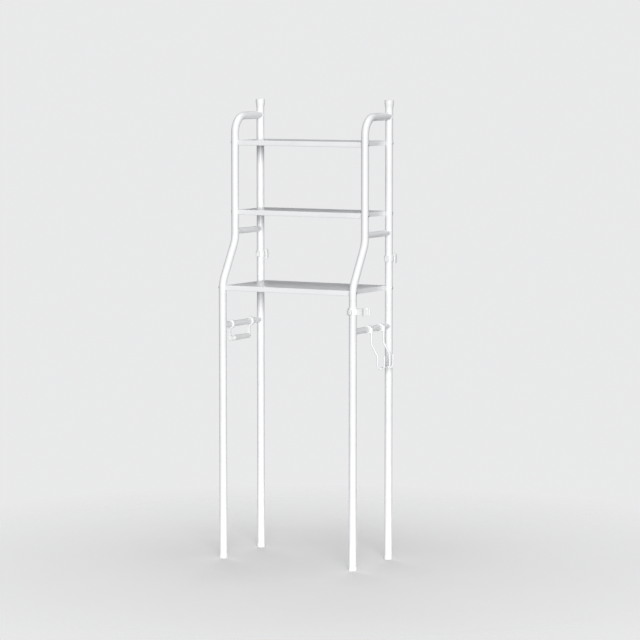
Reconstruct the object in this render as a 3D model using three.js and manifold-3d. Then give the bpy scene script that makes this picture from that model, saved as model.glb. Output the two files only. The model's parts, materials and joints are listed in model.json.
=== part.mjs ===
// Over-the-toilet storage rack: two tube side frames, three bolted sheet shelves, a roll holder,
// a slipper hanger, a mop clip and two wall anchors. Millimetres, +Z up, the front faces -Y.
import * as THREE from 'three';
import { mergeVertices } from 'three/addons/utils/BufferGeometryUtils.js';
import Module from 'manifold-3d';

const wasm = await Module();
wasm.setup();

// ---------------------------------------------------------------- driving dimensions

const GAP = 0.3;                // clearance between touching pieces

const HEIGHT = 1520;            // floor to the top of the rear post caps
const POST_X = 245;             // post centre line, each side of the middle
const REAR_Y = 123;             // rear posts
const LEG_Y = -123.5;           // front legs, below the kink
const FRONT_Y = -42.5;          // front posts, above the kink

const POST_R = 12.5;            // main tube, outside radius
const RAIL_R = 9.5;             // brace and rail tube, outside radius
const WALL = 0.8;               // tube wall
const POST_SIDES = 20;
const RAIL_SIDES = 16;

const JOINT_Z = 880;            // where the lower frame sections meet the upper ones
const SLEEVE_DOWN = 40;         // sleeve length below that joint
const SLEEVE_UP = 15;           // and above it
const KINK_LOW_Z = 920;         // corners of the kink in the front posts
const KINK_TOP_Z = 1057;
const KINK_BEND_R = 80;
const ARCH_Z = 1467;            // centre line of the arch over the top shelf
const ARCH_BEND_R = 58;
const BRACE_Z = 1085;           // upper brace centre line
const RAIL_Z = 778;             // lower side rail centre line

const SHELF_HALF = POST_X - POST_R - GAP;
const SHELF_TOPS = [
  { name: 'top', z: 1387, frontY: FRONT_Y },
  { name: 'middle', z: 1157, frontY: FRONT_Y },
  { name: 'lower', z: 911, frontY: LEG_Y },
];
const SHEET = 1;                // shelf sheet thickness
const LIP_H = 17;               // front lip height
const EDGE_H = 15;              // side and back edge height
const LIP_OUT = 6;              // lip face in front of the front post centre line
const BACK_OUT = 6;             // back edge behind the rear post centre line
const LIP_FOLD = 11;            // return fold under the lip
const FOLD_R = 4;               // outside radius of the lip's folds
const FOLD_STEPS = 4;

const BOLT_R = 2.5;
const BOLT_HOLE_R = 2.9;
const BOLT_HEAD_R = 4;
const BOLT_HEAD_H = 1.8;
const BOLT_DEPTH = 6.5;         // thread length past the post, inside the shelf
const NUT_HALF = 5;             // half width of the threaded block inside a shelf edge

const CAP_FLOOR = 4;            // closed end of a foot or a top cap
const CAP_SKIRT = 0.9;          // skirt wall round the tube
const FOOT = { r: 14.5, h: 17, edge: 0.8, rim: 7, flare: 9.5, waist: 12.5 };
const TOP_CAP = { r: 15, h: 24, edge: 1.2, rim: 13, flare: 17, waist: 21 };

const RING_R = 14.5;            // accessory clip rings on the side rails
const RING_L = 11;
const RING_SLOT = 13;           // snap-on mouth of a ring

const PAPER_FRONT_Y = -70;      // ring centres of the roll holder
const PAPER_REAR_Y = 55;
const PAPER_OUT = 6;            // arms hang this far outside the rail
const PAPER_DROP = 49;          // roller centre below the rail
const PAPER_ARM = 6;            // arm thickness along the rail
const PAPER_ARM_W = 9;          // arm width
const PAPER_BOSS_R = 7;
const PIN_R = 5;
const PIN_L = 6;
const ROLLER_R = 9;

const HANGER_FRONT_Y = -21;     // ring centres of the slipper hanger
const HANGER_REAR_Y = 63;
const HANGER_OUT = 13;          // wire centre outside the rail centre
const WIRE_R = 3;
const WIRE_SIDES = 10;
const LUG_R = 5.2;
const LUG_LOW = 13;             // lug bottom below the rail centre
const LUG_HIGH = 6;             // lug top above it
const WIRE_SOCKET = 8;          // depth of the wire socket in a lug
const WIRE_KNEE = -48;          // heights from the rail centre: the bend outwards,
const WIRE_ELBOW = -88;         // the bend back to vertical
const WIRE_FOOT = -128;         // and the bottom bar
const WIRE_STEP = 23;           // how far the knee takes the wire outwards
const WIRE_BEND_R = 14;
const WIRE_CORNER_R = 10;
const HOOK_OUT = 18;
const HOOK_UP = 44;
const HOOK_BEND_R = 9;
const HOOK_INSET = 12;          // hooks stand this far inside the wire's two arms

const MOP_Z = 844;
const MOP_H = 24;
const MOP_RING_R = 15.2;
const MOP_REACH = 49.5;         // post centre to pole centre
const MOP_POLE_R = 10.5;
const MOP_JAW_WALL = 3.2;
const MOP_MOUTH = 5;            // jaw opens this far past the pole centre
const MOP_ARM_HALF = 6;         // half width of the arm to the jaw
const MOP_WEB_INSET = 2;        // arm, bulge and ears are lower than the rings by these
const MOP_EAR_INSET = 4;
const MOP_SPLIT = 1.2;          // gap between the clamp halves
const BULGE = { out: 20, root: 9, tip: 6 };     // boss on the back of a post clip
const EAR = { w: 5, reach: 23, screwY: 19 };
const MOP_SCREW = { r: 1.6, headR: 3, headH: 2 };

const ANCHOR_Z = 1000;
const ANCHOR_RING_R = 15.6;
const ANCHOR_RING_H = 19;
const ANCHOR_BLOCK = { w: 30, h: 30, corner: 4, near: 17, far: 28.5 };
const GROOVE = { count: 3, pitch: 8, w: 2.6, deep: 1.5 };
const TONGUE = { w: 12, h: 11, far: 24 };
const PAD = { r: 14, thick: 2 };
const CORNER_STEPS = 4;         // steps of a rounded corner

// ---------------------------------------------------------------- materials

const white = { color: 0xf3f4f6, roughness: 0.32, metalness: 0.15 };
const finish = {
  tube: new THREE.MeshStandardMaterial(white),
  shelf: new THREE.MeshStandardMaterial({ color: 0xf1f2f3, roughness: 0.38, metalness: 0.1 }),
  sleeve: new THREE.MeshStandardMaterial({ color: 0xb9bcc0, roughness: 0.4, metalness: 0.9 }),
  bolt: new THREE.MeshStandardMaterial({ color: 0xc9cccf, roughness: 0.28, metalness: 1 }),
  cap: new THREE.MeshStandardMaterial({ color: 0xeeefef, roughness: 0.5, metalness: 0 }),
  plastic: new THREE.MeshStandardMaterial({ color: 0xf0f0f1, roughness: 0.45, metalness: 0 }),
  wire: new THREE.MeshStandardMaterial({ color: 0xf2f3f4, roughness: 0.35, metalness: 0.1 }),
  pad: new THREE.MeshStandardMaterial({ color: 0xd8d9da, roughness: 0.9, metalness: 0 }),
};

// ---------------------------------------------------------------- boolean helpers

function toSolid(geometry) {
  const bare = geometry.clone();
  bare.deleteAttribute('normal');
  bare.deleteAttribute('uv');
  const merged = mergeVertices(bare, 1e-4);
  return new wasm.Manifold(new wasm.Mesh({
    numProp: 3,
    vertProperties: merged.attributes.position.array,
    triVerts: new Uint32Array(merged.index.array),
  }));
}

function toGeometry(solid) {
  const mesh = solid.getMesh();
  const geometry = new THREE.BufferGeometry();
  geometry.setAttribute('position', new THREE.BufferAttribute(mesh.vertProperties, 3));
  geometry.setIndex(new THREE.BufferAttribute(mesh.triVerts, 1));
  return geometry;
}

function cut(geometry, ...tools) {
  return toGeometry(tools.reduce((solid, tool) => solid.subtract(toSolid(tool)), toSolid(geometry)));
}

function join(first, ...rest) {
  return toGeometry(rest.reduce((solid, piece) => solid.add(toSolid(piece)), toSolid(first)));
}

function keep(geometry, region) {
  return toGeometry(toSolid(geometry).intersect(toSolid(region)));
}

// ---------------------------------------------------------------- shape helpers

function circle(radius, sides) {
  const points = [];
  for (let i = 0; i < sides; i += 1) {
    const angle = (2 * Math.PI * (i + 0.5)) / sides;
    points.push(new THREE.Vector2(radius * Math.cos(angle), radius * Math.sin(angle)));
  }
  return points;
}

function ringShape(outer, inner, sides) {
  const shape = new THREE.Shape(circle(outer, sides));
  shape.holes.push(new THREE.Path(circle(inner, sides).reverse()));
  return shape;
}

function discShape(radius, sides) {
  return new THREE.Shape(circle(radius, sides));
}

// A prism of the shape, from one height to another along Z.
function prism(shape, low, high) {
  const geometry = new THREE.ExtrudeGeometry(shape, { depth: high - low, bevelEnabled: false });
  return geometry.translate(0, 0, low);
}

// The same prism, lying along Y or X.
function prismY(shape, low, high) {
  return prism(shape, low, high).rotateX(-Math.PI / 2);
}

function prismX(shape, low, high) {
  return prism(shape, low, high).rotateY(Math.PI / 2);
}

// Turns a prism so that its section's u runs along Y, its v along Z and its length along X.
const SECTION_ALONG_X = new THREE.Matrix4().makeBasis(
  new THREE.Vector3(0, 1, 0),
  new THREE.Vector3(0, 0, 1),
  new THREE.Vector3(1, 0, 0),
);

function block(x, y, z) {
  const geometry = new THREE.BoxGeometry(x[1] - x[0], y[1] - y[0], z[1] - z[0]);
  return geometry.translate((x[0] + x[1]) / 2, (y[0] + y[1]) / 2, (z[0] + z[1]) / 2);
}

// A straight run of a bent tube.
class Run extends THREE.Curve {
  constructor(from, to) {
    super();
    this.from = from;
    this.to = to;
  }

  getPoint(t, target = new THREE.Vector3()) {
    return target.lerpVectors(this.from, this.to, t);
  }
}

// A circular bend about a centre.
class Bend extends THREE.Curve {
  constructor(centre, arm, axis, angle) {
    super();
    Object.assign(this, { centre, arm, axis, angle });
  }

  getPoint(t, target = new THREE.Vector3()) {
    return target.copy(this.arm).applyAxisAngle(this.axis, this.angle * t).add(this.centre);
  }
}

// Straight runs and bends in order, with one step to a run and a few to a bend.
class BentPath extends THREE.Curve {
  constructor(pieces) {
    super();
    this.pieces = pieces;
    this.steps = pieces.reduce((sum, piece) => sum + piece.steps, 0);
  }

  getUtoTmapping(u) {
    return u;
  }

  getPoint(t, target = new THREE.Vector3()) {
    let at = t * this.steps;
    let index = 0;
    while (index < this.pieces.length - 1 && at > this.pieces[index].steps) {
      at -= this.pieces[index].steps;
      index += 1;
    }
    const { curve, steps } = this.pieces[index];
    return curve.getPoint(Math.min(at / steps, 1), target);
  }
}

// Corners in order, each rounded to its own radius. stepAngle is the turn of one bend step.
function bentPath(corners, radii, stepAngle) {
  const pieces = [];
  let from = corners[0];
  for (let i = 1; i < corners.length - 1; i += 1) {
    const corner = corners[i];
    const inward = corner.clone().sub(corners[i - 1]).normalize();
    const outward = corners[i + 1].clone().sub(corner).normalize();
    const angle = inward.angleTo(outward);
    const reach = radii[i - 1] * Math.tan(angle / 2);
    const start = corner.clone().addScaledVector(inward, -reach);
    const axis = inward.clone().cross(outward).normalize();
    const toCentre = axis.clone().cross(inward).multiplyScalar(radii[i - 1]);
    const centre = start.clone().add(toCentre);
    pieces.push({ curve: new Run(from, start), steps: 1 });
    const bend = new Bend(centre, toCentre.clone().negate(), axis, angle);
    pieces.push({ curve: bend, steps: Math.ceil(angle / stepAngle) });
    from = bend.getPoint(1);
  }
  pieces.push({ curve: new Run(from, corners[corners.length - 1]), steps: 1 });
  return new BentPath(pieces);
}

function sweep(shape, path) {
  return new THREE.ExtrudeGeometry(shape, {
    extrudePath: path,
    steps: path.steps,
    bevelEnabled: false,
  });
}

// ---------------------------------------------------------------- the group and its nodes

const rack = new THREE.Group();

function add(name, geometry, material) {
  const mesh = new THREE.Mesh(geometry, material);
  mesh.name = name;
  rack.add(mesh);
  return mesh;
}

const SIDES = [
  { name: 'left', sign: -1 },
  { name: 'right', sign: 1 },
];

// ---------------------------------------------------------------- side frames

const postShape = ringShape(POST_R, POST_R - WALL, POST_SIDES);
const railShape = ringShape(RAIL_R, RAIL_R - WALL, RAIL_SIDES);

// Bolt heights on the post pair at one end of every shelf.
function boltHeights(isFront) {
  return SHELF_TOPS.map((shelf) => ({
    y: isFront ? shelf.frontY : REAR_Y,
    z: shelf.z - EDGE_H / 2,
  }));
}

function boltHole(y, z) {
  const half = POST_R + 2;
  return prismX(discShape(BOLT_HOLE_R, 12), -half, half).translate(0, y, z);
}

function postCutter(y) {
  return prism(discShape(POST_R + GAP, 32), 0, HEIGHT).translate(0, y, 0);
}

function frontUpperTube() {
  const path = bentPath(
    [
      new THREE.Vector3(0, LEG_Y, JOINT_Z + GAP / 2),
      new THREE.Vector3(0, LEG_Y, KINK_LOW_Z),
      new THREE.Vector3(0, FRONT_Y, KINK_TOP_Z),
      new THREE.Vector3(0, FRONT_Y, ARCH_Z),
      new THREE.Vector3(0, REAR_Y, ARCH_Z),
    ],
    [KINK_BEND_R, KINK_BEND_R, ARCH_BEND_R],
    Math.PI / 16,
  );
  const holes = boltHeights(true).map(({ y, z }) => boltHole(y, z));
  return cut(sweep(postShape, path), postCutter(REAR_Y), ...holes);
}

function rearUpperTube() {
  const top = HEIGHT - CAP_FLOOR - GAP;
  const tube = prism(postShape, JOINT_Z + GAP / 2, top).translate(0, REAR_Y, 0);
  return cut(tube, ...boltHeights(false).map(({ y, z }) => boltHole(y, z)));
}

function lowerTube(y) {
  return prism(postShape, CAP_FLOOR + GAP, JOINT_Z - GAP / 2).translate(0, y, 0);
}

function crossTube(fromY, z) {
  const tube = prismY(railShape, fromY, REAR_Y).translate(0, 0, z);
  return cut(tube, postCutter(fromY), postCutter(REAR_Y));
}

function sleeve(y) {
  const outer = POST_R - WALL - GAP;
  const shape = ringShape(outer, outer - WALL, POST_SIDES);
  return prism(shape, JOINT_Z - SLEEVE_DOWN, JOINT_Z + SLEEVE_UP).translate(0, y, 0);
}

// A cap over a tube's end, closed end at zero: a wide rim that flares in to a thin skirt.
function endCap({ r, h, edge, rim, flare, waist }) {
  const bore = POST_R + GAP;
  const profile = [
    [0, 0],
    [r - edge, 0],
    [r, edge],
    [r, rim],
    [(r + bore + CAP_SKIRT) / 2, flare],
    [bore + CAP_SKIRT, waist],
    [bore + CAP_SKIRT, h],
    [bore, h],
    [bore, CAP_FLOOR],
    [0, CAP_FLOOR],
  ].map(([radius, height]) => new THREE.Vector2(radius, height));
  return new THREE.LatheGeometry(profile, POST_SIDES);
}

for (const { name, sign } of SIDES) {
  const x = sign * POST_X;
  add(`${name}_front_leg`, lowerTube(LEG_Y), finish.tube).position.x = x;
  add(`${name}_front_upper_tube`, frontUpperTube(), finish.tube).position.x = x;
  add(`${name}_rear_post_lower`, lowerTube(REAR_Y), finish.tube).position.x = x;
  add(`${name}_rear_post_upper`, rearUpperTube(), finish.tube).position.x = x;
  add(`${name}_upper_brace`, crossTube(FRONT_Y, BRACE_Z), finish.tube).position.x = x;
  add(`${name}_side_rail`, crossTube(LEG_Y, RAIL_Z), finish.tube).position.x = x;
  add(`${name}_front_sleeve`, sleeve(LEG_Y), finish.sleeve).position.x = x;
  add(`${name}_rear_sleeve`, sleeve(REAR_Y), finish.sleeve).position.x = x;
  const foot = endCap(FOOT).rotateX(Math.PI / 2);
  add(`${name}_front_foot`, foot, finish.cap).position.set(x, LEG_Y, 0);
  add(`${name}_rear_foot`, foot.clone(), finish.cap).position.set(x, REAR_Y, 0);
  const topCap = endCap(TOP_CAP).rotateX(-Math.PI / 2);
  add(`${name}_top_cap`, topCap, finish.cap).position.set(x, REAR_Y, HEIGHT);
}

// ---------------------------------------------------------------- shelves

// The points of a quarter turn of a fold, anticlockwise from an angle.
function fold(cx, cy, radius, from) {
  const points = [];
  for (let i = 0; i <= FOLD_STEPS; i += 1) {
    const angle = from + (i / FOLD_STEPS) * (Math.PI / 2);
    points.push(new THREE.Vector2(cx + radius * Math.cos(angle), cy + radius * Math.sin(angle)));
  }
  return points;
}

// Section of a shelf from its front lip to its back edge: u runs back from the lip face and v up.
function shelfShape(depth) {
  const inner = FOLD_R - SHEET;
  const outline = [
    ...fold(FOLD_R, -FOLD_R, FOLD_R, Math.PI / 2),
    ...fold(FOLD_R, -LIP_H + FOLD_R, FOLD_R, Math.PI),
    new THREE.Vector2(LIP_FOLD, -LIP_H),
    new THREE.Vector2(LIP_FOLD, -LIP_H + SHEET),
    ...fold(FOLD_R, -LIP_H + FOLD_R, inner, Math.PI).reverse(),
    ...fold(FOLD_R, -FOLD_R, inner, Math.PI / 2).reverse(),
    new THREE.Vector2(depth - SHEET, -SHEET),
    new THREE.Vector2(depth - SHEET, -EDGE_H),
    new THREE.Vector2(depth, -EDGE_H),
    new THREE.Vector2(depth, 0),
  ];
  return new THREE.Shape(outline);
}

// A range from one distance to another on the side that sign names, low value first.
function spanTo(sign, from, to) {
  return [sign * from, sign * to].sort((a, b) => a - b);
}

// The folded sheet with its two side edges and its four threaded blocks. The pieces run a
// quarter of the sheet's thickness past each other, so that no two faces meet in one plane.
function shelf(frontY) {
  const face = frontY - LIP_OUT;
  const back = REAR_Y + BACK_OUT;
  const bite = SHEET / 4;
  const half = SHELF_HALF - bite;
  const sheet = prism(shelfShape(back - face), -half, half).applyMatrix4(SECTION_ALONG_X);
  sheet.translate(0, face, 0);
  const pieces = [];
  const holes = [];
  for (const { sign } of SIDES) {
    const edge = spanTo(sign, SHELF_HALF, SHELF_HALF - SHEET);
    pieces.push(block(edge, [face + FOLD_R, back - bite], [-EDGE_H + bite, -bite]));
    const nut = spanTo(sign, SHELF_HALF - 2 * bite, SHELF_HALF - BOLT_DEPTH);
    for (const y of [frontY, REAR_Y]) {
      pieces.push(block(nut, [y - NUT_HALF, y + NUT_HALF], [-EDGE_H + SHEET, -2 * bite]));
      holes.push(boltHole(y, -EDGE_H / 2).translate(sign * SHELF_HALF, 0, 0));
    }
  }
  return cut(join(sheet, ...pieces), ...holes);
}

function bolt() {
  const head = prismX(discShape(BOLT_HEAD_R, 16), POST_R + GAP, POST_R + GAP + BOLT_HEAD_H);
  const shank = prismX(discShape(BOLT_R, 12), -(POST_R + BOLT_DEPTH - 1), POST_R + GAP + 1);
  return join(head, shank);
}

for (const { name, z, frontY } of SHELF_TOPS) {
  add(`${name}_shelf`, shelf(frontY), finish.shelf).position.z = z;
  for (const side of SIDES) {
    for (const [end, y] of [['front', frontY], ['rear', REAR_Y]]) {
      const mesh = add(`${name}_shelf_bolt_${side.name}_${end}`, bolt(), finish.bolt);
      mesh.position.set(side.sign * POST_X, y, z - EDGE_H / 2);
      mesh.rotation.z = side.sign > 0 ? 0 : Math.PI;
    }
  }
}

// ---------------------------------------------------------------- clip rings on the side rails

// A snap-on ring about the rail, with its mouth on the side of X that mouthSign names.
function clipRing(mouthSign) {
  const ring = prismY(ringShape(RING_R, RAIL_R + GAP, 24), -RING_L / 2, RING_L / 2);
  const reach = spanTo(mouthSign, 0, RING_R + 1);
  const mouth = block(reach, [-RING_L, RING_L], [-RING_SLOT / 2, RING_SLOT / 2]);
  return cut(ring, mouth);
}

// ---------------------------------------------------------------- roll holder on the left rail

// One arm, hanging below its ring a little to +X, with a pin that points along +Y. The ring's
// mouth is at +X as well.
function paperClip() {
  const out = PAPER_OUT;
  const face = PAPER_ARM / 2;
  const width = [out - PAPER_ARM_W / 2, out + PAPER_ARM_W / 2];
  const arm = block(width, [-face, face], [-PAPER_DROP, -RAIL_R]);
  const boss = prismY(discShape(PAPER_BOSS_R, 20), -face, face);
  const pin = prismY(discShape(PIN_R, 16), 0, face + PIN_L);
  const bore = prismY(discShape(RAIL_R + GAP, 24), -RING_L, RING_L);
  const clip = join(
    clipRing(1),
    arm,
    boss.translate(out, 0, -PAPER_DROP),
    pin.translate(out, 0, -PAPER_DROP),
  );
  return cut(clip, bore);
}

// The same clip mirrored front to back. A mirror turns faces over, so their order is reversed.
function mirroredInY(geometry) {
  const mirrored = geometry.clone().scale(1, -1, 1);
  mirrored.index.array.reverse();
  return mirrored;
}

function paperRoller(length) {
  const tube = ringShape(ROLLER_R, PIN_R + GAP, 24);
  return prismY(tube, -length / 2, length / 2);
}

const rearPaperClip = paperClip().rotateZ(Math.PI);
const frontArmY = PAPER_FRONT_Y + PAPER_ARM / 2;
const rearArmY = PAPER_REAR_Y - PAPER_ARM / 2;
const rollerL = rearArmY - frontArmY - 2 * GAP;
const rollerY = (frontArmY + rearArmY) / 2;
add('paper_clip_front', mirroredInY(rearPaperClip), finish.plastic)
  .position.set(-POST_X, PAPER_FRONT_Y, RAIL_Z);
add('paper_clip_rear', rearPaperClip, finish.plastic)
  .position.set(-POST_X, PAPER_REAR_Y, RAIL_Z);
add('paper_roller', paperRoller(rollerL), finish.plastic)
  .position.set(-POST_X - PAPER_OUT, rollerY, RAIL_Z - PAPER_DROP);

// ---------------------------------------------------------------- slipper hanger on the right rail

function slipperClip() {
  const lug = prism(discShape(LUG_R, 16), -LUG_LOW, LUG_HIGH).translate(HANGER_OUT, 0, 0);
  const bore = prismY(discShape(RAIL_R + GAP, 24), -RING_L, RING_L);
  const socket = prism(discShape(WIRE_R + GAP, 14), -LUG_LOW - 1, WIRE_SOCKET - LUG_LOW);
  return cut(join(clipRing(-1), lug), bore, socket.translate(HANGER_OUT, 0, 0));
}

// The wire: a U between the two lugs, stepped outwards below the rail, with two upturned hooks.
function slipperWire() {
  const top = -LUG_LOW + WIRE_SOCKET - GAP;
  const foot = HANGER_OUT + WIRE_STEP;
  const round = discShape(WIRE_R, WIRE_SIDES);
  const side = (y) => [
    new THREE.Vector3(HANGER_OUT, y, top),
    new THREE.Vector3(HANGER_OUT, y, WIRE_KNEE),
    new THREE.Vector3(foot, y, WIRE_ELBOW),
    new THREE.Vector3(foot, y, WIRE_FOOT),
  ];
  const bends = [WIRE_BEND_R, WIRE_BEND_R, WIRE_CORNER_R];
  const frame = bentPath(
    [...side(HANGER_FRONT_Y), ...side(HANGER_REAR_Y).reverse()],
    [...bends, ...bends.toReversed()],
    Math.PI / 8,
  );
  const hooks = [HANGER_FRONT_Y + HOOK_INSET, HANGER_REAR_Y - HOOK_INSET].map((y) => {
    const path = bentPath(
      [
        new THREE.Vector3(foot - 1, y, WIRE_FOOT),
        new THREE.Vector3(foot + HOOK_OUT, y, WIRE_FOOT),
        new THREE.Vector3(foot + HOOK_OUT, y, WIRE_FOOT + HOOK_UP),
      ],
      [HOOK_BEND_R],
      Math.PI / 8,
    );
    return sweep(round, path);
  });
  return join(sweep(round, frame), ...hooks);
}

for (const [end, y] of [['front', HANGER_FRONT_Y], ['rear', HANGER_REAR_Y]]) {
  add(`slipper_clip_${end}`, slipperClip(), finish.plastic).position.set(POST_X, y, RAIL_Z);
}
add('slipper_wire', slipperWire(), finish.wire).position.set(POST_X, 0, RAIL_Z);

// ---------------------------------------------------------------- mop clip on the right front leg

// The tapered boss opposite a clip's arm, pointing along -X.
function clipBulge(halfHeight) {
  const outline = new THREE.Shape([
    new THREE.Vector2(0, -BULGE.root),
    new THREE.Vector2(0, BULGE.root),
    new THREE.Vector2(-BULGE.out, BULGE.tip),
    new THREE.Vector2(-BULGE.out, -BULGE.tip),
  ]);
  return prism(outline, -halfHeight, halfHeight);
}

// The whole clamp before it is split: ring, ears, inner bulge, arm and jaw about the leg's axis.
function mopClamp() {
  const half = MOP_H / 2;
  const web = half - MOP_WEB_INSET;
  const earHalf = half - MOP_EAR_INSET;
  const ring = prism(discShape(MOP_RING_R, 28), -half, half);
  const ears = block([-EAR.w, EAR.w], [-EAR.reach, EAR.reach], [-earHalf, earHalf]);
  const arm = block([0, MOP_REACH - MOP_POLE_R], [-MOP_ARM_HALF, MOP_ARM_HALF], [-web, web]);
  const jawR = MOP_POLE_R + MOP_JAW_WALL;
  const jaw = prism(discShape(jawR, 28), -half, half).translate(MOP_REACH, 0, 0);
  const bore = prism(discShape(POST_R + GAP, 32), -MOP_H, MOP_H);
  const pole = prism(discShape(MOP_POLE_R + GAP, 28), -MOP_H, MOP_H).translate(MOP_REACH, 0, 0);
  const mouth = block([MOP_REACH + MOP_MOUTH, MOP_REACH + 2 * jawR], [-jawR, jawR], [-MOP_H, MOP_H]);
  const screws = [-EAR.screwY, EAR.screwY].map((y) => (
    prismX(discShape(MOP_SCREW.r + GAP, 12), -EAR.w - 1, EAR.w + 1).translate(0, y, 0)
  ));
  return cut(join(ring, ears, clipBulge(web), arm, jaw), bore, pole, mouth, ...screws);
}

// A screw through both ears, with its pan head outside the jaw half.
function mopScrew() {
  const { r, headR, headH } = MOP_SCREW;
  const seat = EAR.w + GAP;
  const head = prismX(discShape(headR, 14), seat, seat + headH);
  const shank = prismX(discShape(r, 12), -EAR.w + 1, seat + headH / 2);
  return join(head, shank);
}

const clamp = mopClamp();
const far = 2 * MOP_REACH;
const outerRegion = block([MOP_SPLIT / 2, far], [-far, far], [-far, far]);
const innerRegion = block([-far, -MOP_SPLIT / 2], [-far, far], [-far, far]);
const mopPlace = [POST_X, LEG_Y, MOP_Z];
add('mop_clip_jaw', keep(clamp, outerRegion), finish.plastic).position.set(...mopPlace);
add('mop_clip_back', keep(clamp, innerRegion), finish.plastic).position.set(...mopPlace);
for (const [end, y] of [['front', -EAR.screwY], ['rear', EAR.screwY]]) {
  add(`mop_clip_screw_${end}`, mopScrew(), finish.bolt).position.set(POST_X, LEG_Y + y, MOP_Z);
}

// ---------------------------------------------------------------- wall anchors on the rear posts

// A collar with a boss to the front and a tongue to the back, for the block.
function anchorCollar() {
  const half = ANCHOR_RING_H / 2;
  const ring = prism(discShape(ANCHOR_RING_R, 28), -half, half);
  const bulge = clipBulge(half - MOP_WEB_INSET).rotateZ(Math.PI / 2);
  const tongue = block([-TONGUE.w / 2, TONGUE.w / 2], [0, TONGUE.far], [-TONGUE.h / 2, TONGUE.h / 2]);
  const bore = prism(discShape(POST_R + GAP, 32), -ANCHOR_RING_H, ANCHOR_RING_H);
  return cut(join(ring, bulge, tongue), bore);
}

// A rectangle about the origin with rounded corners.
function roundedBoxShape(width, height, corner) {
  const x = width / 2;
  const y = height / 2;
  const shape = new THREE.Shape();
  shape.moveTo(-x + corner, -y);
  shape.absarc(x - corner, -y + corner, corner, -Math.PI / 2, 0);
  shape.absarc(x - corner, y - corner, corner, 0, Math.PI / 2);
  shape.absarc(-x + corner, y - corner, corner, Math.PI / 2, Math.PI);
  shape.absarc(-x + corner, -y + corner, corner, Math.PI, 1.5 * Math.PI);
  return shape;
}

// The block that bears on the wall: level grooves round its front and sides, and a pocket for
// the collar's tongue.
function anchorBlock() {
  const { w, h, corner, near, far: end } = ANCHOR_BLOCK;
  const outline = new THREE.Shape(roundedBoxShape(w, h, corner).getPoints(CORNER_STEPS));
  const body = prismY(outline, near, end);
  const pocket = block(
    [-TONGUE.w / 2 - GAP, TONGUE.w / 2 + GAP],
    [near - 1, TONGUE.far + GAP],
    [-TONGUE.h / 2 - GAP, TONGUE.h / 2 + GAP],
  );
  const core = w / 2 - GROOVE.deep;
  const grooves = [];
  for (let i = 0; i < GROOVE.count; i += 1) {
    const z = (i - (GROOVE.count - 1) / 2) * GROOVE.pitch;
    const level = [z - GROOVE.w / 2, z + GROOVE.w / 2];
    const band = block([-w, w], [near - 1, end + 1], level);
    grooves.push(cut(band, block([-core, core], [near + GROOVE.deep, end + 2], [-h, h])));
  }
  return cut(body, pocket, ...grooves);
}

function anchorPad() {
  const near = ANCHOR_BLOCK.far + GAP;
  return prismY(discShape(PAD.r, 32), near, near + PAD.thick);
}

for (const { name, sign } of SIDES) {
  const place = [sign * POST_X, REAR_Y, ANCHOR_Z];
  add(`${name}_wall_collar`, anchorCollar(), finish.plastic).position.set(...place);
  add(`${name}_wall_block`, anchorBlock(), finish.plastic).position.set(...place);
  add(`${name}_wall_pad`, anchorPad(), finish.pad).position.set(...place);
}

// ---------------------------------------------------------------- origin

// The origin is the middle of the rack's box on the floor.
rack.updateMatrixWorld(true);
const box = new THREE.Box3().setFromObject(rack, true);
const middle = box.getCenter(new THREE.Vector3());
rack.position.set(-middle.x, -middle.y, -box.min.z);

export default rack;
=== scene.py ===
# Looks of the over-the-toilet storage rack. Metres, +Z up, the front faces -Y.
import json
import math

import bmesh
import bpy
from mathutils import Matrix, Vector


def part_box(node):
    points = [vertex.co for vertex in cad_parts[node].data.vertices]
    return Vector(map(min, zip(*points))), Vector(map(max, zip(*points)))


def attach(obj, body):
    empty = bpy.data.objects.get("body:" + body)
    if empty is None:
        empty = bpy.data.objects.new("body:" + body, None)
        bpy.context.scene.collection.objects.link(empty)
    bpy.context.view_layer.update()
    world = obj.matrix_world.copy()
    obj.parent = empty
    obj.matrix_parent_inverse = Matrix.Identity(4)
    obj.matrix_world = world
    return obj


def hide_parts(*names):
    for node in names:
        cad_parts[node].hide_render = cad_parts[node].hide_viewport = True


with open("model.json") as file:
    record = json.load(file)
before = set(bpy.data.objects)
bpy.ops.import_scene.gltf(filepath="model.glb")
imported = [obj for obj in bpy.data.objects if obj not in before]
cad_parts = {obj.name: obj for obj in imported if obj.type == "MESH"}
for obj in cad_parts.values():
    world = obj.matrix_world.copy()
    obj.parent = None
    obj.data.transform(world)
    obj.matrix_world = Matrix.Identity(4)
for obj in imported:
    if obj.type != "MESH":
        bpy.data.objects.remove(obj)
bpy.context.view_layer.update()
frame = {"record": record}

# ---------------------------------------------------------------- sizes

MM = 0.001

POST_R = 12.5 * MM              # main tube, outside
RAIL_R = 9.5 * MM               # braces and side rails, outside
WALL = 0.8 * MM                 # tube wall
FIT = 0.3 * MM                  # running clearance between pieces
END_CHAMFER = 0.35 * MM         # broken edge of a sawn tube end
SLEEVE_R = POST_R - WALL - FIT
CAD_FACET = math.cos(math.pi / 20)      # the flats of a 20-sided post, as a share of its radius

KINK_LOW_Z = 0.920              # corners and bends of the front posts
KINK_TOP_Z = 1.057
KINK_BEND_R = 0.080
ARCH_BEND_R = 0.058
LIP_OUT = 6 * MM                # shelf face in front of the post centre line

WELD_R = 1.5 * MM
WELD_RIPPLE = 0.09              # height of the weld's ripples, as a share of its radius
WELD_PITCH = 1.6 * MM           # from one ripple to the next
WELD_STEPS = 6                  # rings to a ripple
WELD_SEGMENTS = 10

SHELF_FOLD_R = 3.6 * MM
FOLD_SEGMENTS = 8
SHEET = 1.0 * MM
LIP_RETURN = 11 * MM            # fold under the front lip
EDGE_H = 15 * MM
NUT_R = 4.6 * MM
NUT_L = 5.4 * MM

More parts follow.
